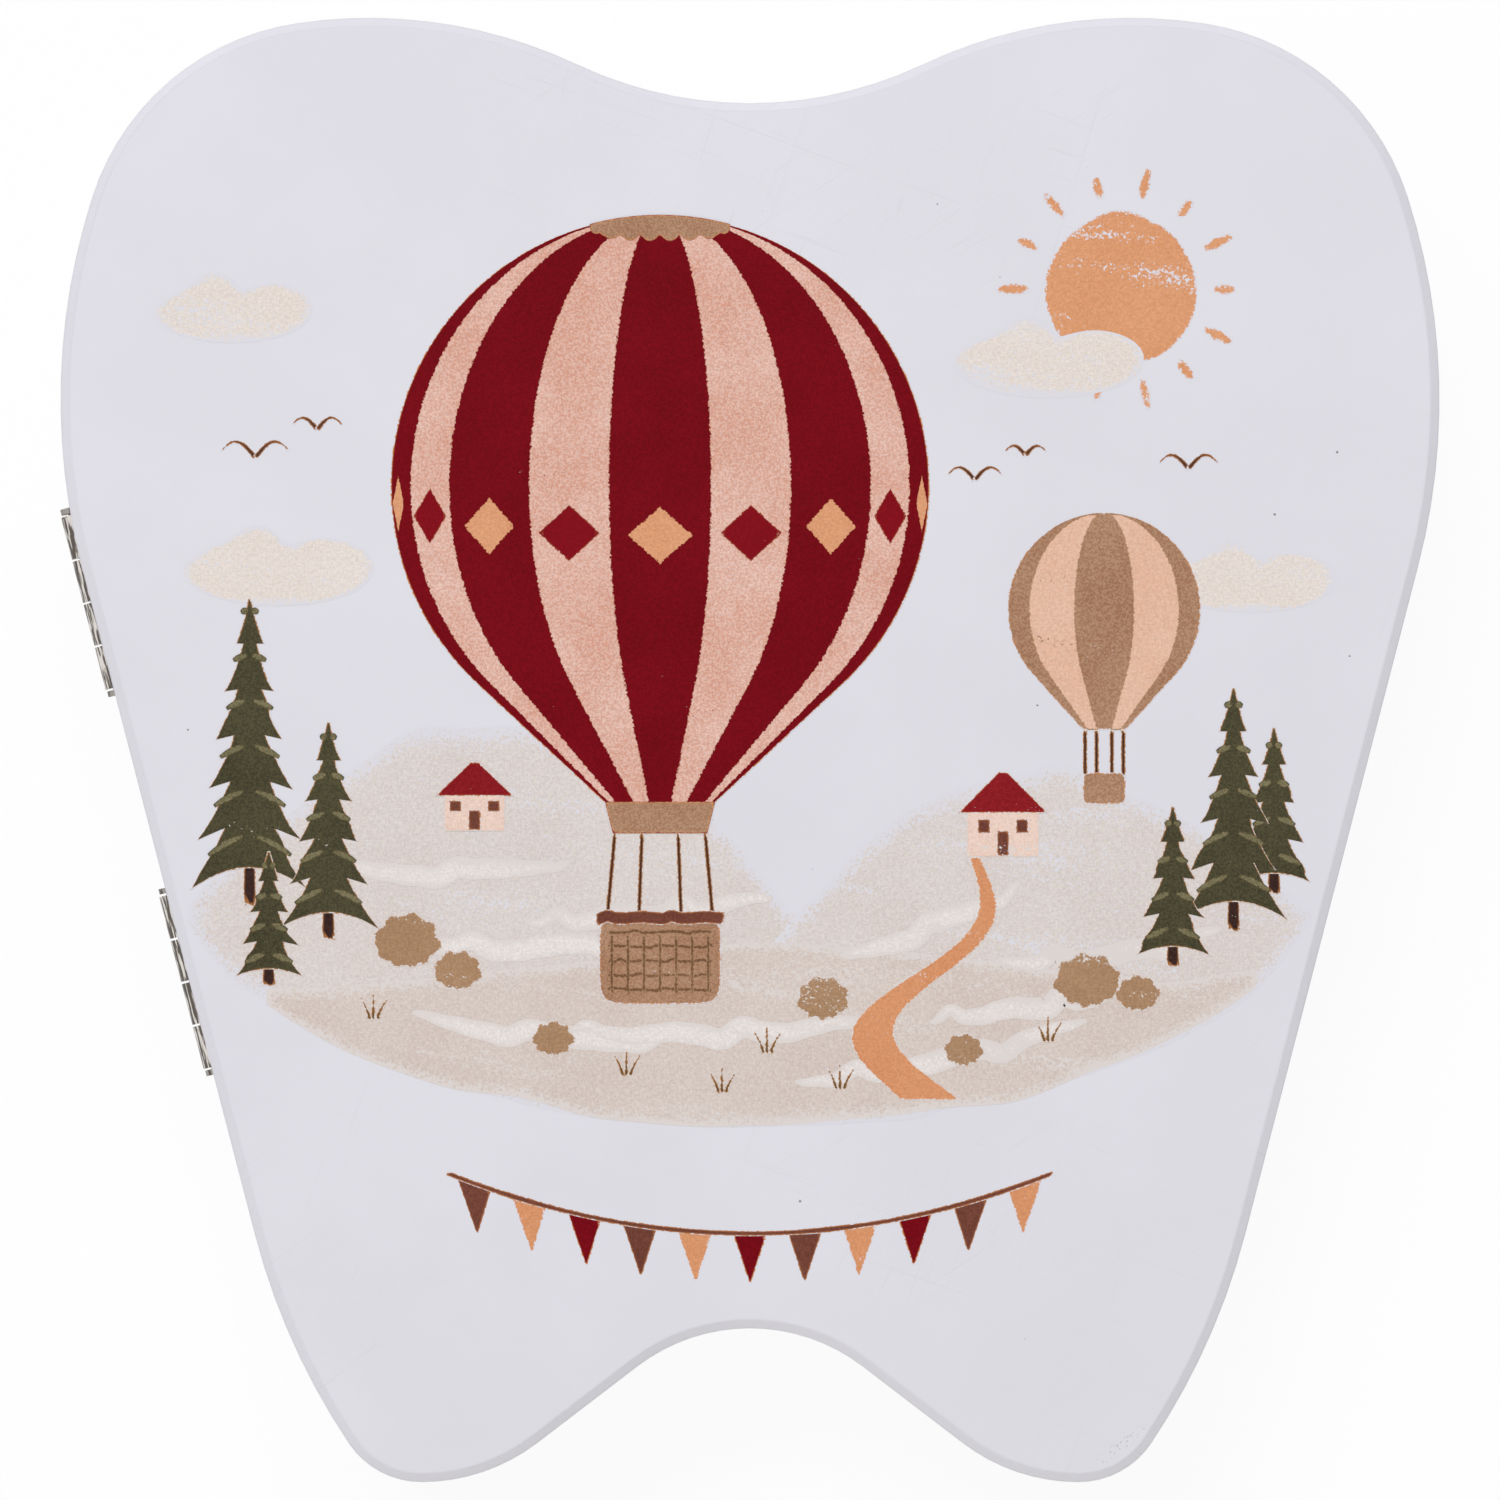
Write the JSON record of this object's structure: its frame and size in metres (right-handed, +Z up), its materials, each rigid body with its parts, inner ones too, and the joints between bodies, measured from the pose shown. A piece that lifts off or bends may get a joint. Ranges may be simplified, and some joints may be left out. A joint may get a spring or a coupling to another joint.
{
  "type": "baby tooth box",
  "caption": "Flat keepsake box shaped like a molar: a hinged lid with a printed picture over a board with a ring of wells for milk teeth.",
  "frame": {"origin": "on the underside of the box, on the tooth's axis of symmetry, halfway between crown and root tips", "axes": "box lying on its back: +Z up through the lid, +Y from the roots to the crown, +X to the side away from the hinges"},
  "size_m": [0.1236, 0.1304, 0.027],
  "materials": {
    "lid_paint": "fibreboard with satin white paint and a printed picture",
    "box_paint": "fibreboard with satin white paint",
    "hinge_plate": "bright nickel plate",
    "magnet_plate": "nickel plate, slightly dull"
  },
  "bodies": {
    "base": {"back_board": "box_paint", "well_board": "box_paint", "upper_hinge_base_leaf": "hinge_plate", "upper_hinge_pin": "hinge_plate", "lower_hinge_base_leaf": "hinge_plate", "lower_hinge_pin": "hinge_plate", "upper_base_magnet": "magnet_plate", "lower_base_magnet": "magnet_plate"},
    "lid": {"lid_board": "lid_paint", "upper_hinge_lid_leaf": "hinge_plate", "lower_hinge_lid_leaf": "hinge_plate", "upper_lid_magnet": "magnet_plate", "lower_lid_magnet": "magnet_plate"}
  },
  "joints": [
    {"name": "lid_hinge", "type": "hinge", "parent": "base", "child": "lid", "pos_m": [-0.05453, -0.00363, 0.018], "axis": [0.2506, -0.9681, 0], "range_deg": [0, 180]}
  ]
}
